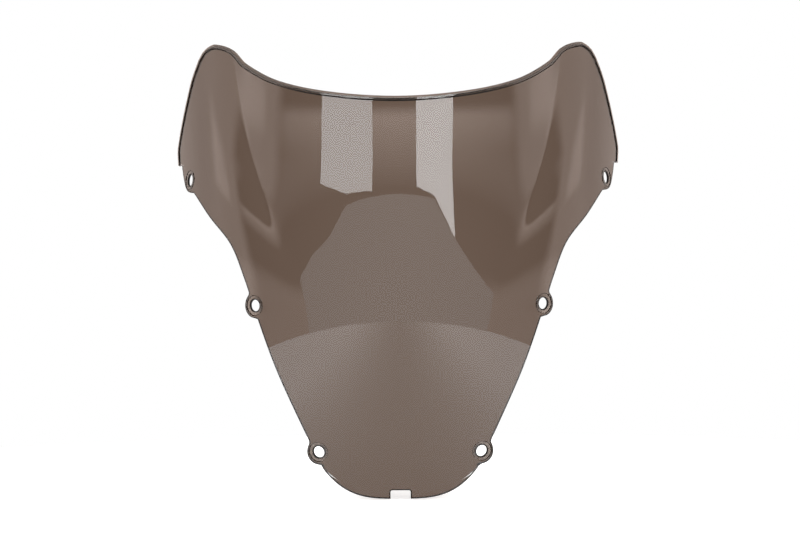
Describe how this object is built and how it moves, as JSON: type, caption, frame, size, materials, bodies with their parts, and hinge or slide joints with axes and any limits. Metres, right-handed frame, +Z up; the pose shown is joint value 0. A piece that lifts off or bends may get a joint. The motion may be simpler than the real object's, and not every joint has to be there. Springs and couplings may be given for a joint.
{
  "type": "motorcycle windshield screen",
  "caption": "Smoked transparent bubble screen for a sport motorcycle fairing, with two folded wings, an edge trim along the top, bushed fixing tabs and a locating notch.",
  "frame": {"origin": "middle of the locating notch's mouth, on the outer face at the bottom edge", "axes": "+Z up along the screen, -Y out of the outer convex face, +X to the right for someone looking at that face"},
  "size_m": [0.4018, 0.1403, 0.4018],
  "materials": {
    "smoked_sheet": "polished smoked transparent plastic",
    "smoked_trim": "smoked translucent edge trim, smooth",
    "smoked_bush": "dark smoked translucent plastic, smooth"
  },
  "bodies": {
    "root": {"screen_sheet": "smoked_sheet", "edge_trim": "smoked_trim", "bush_bottom_left": "smoked_bush", "bush_bottom_right": "smoked_bush", "bush_middle_left": "smoked_bush", "bush_middle_right": "smoked_bush", "bush_top_left": "smoked_bush", "bush_top_right": "smoked_bush"}
  },
  "joints": []
}
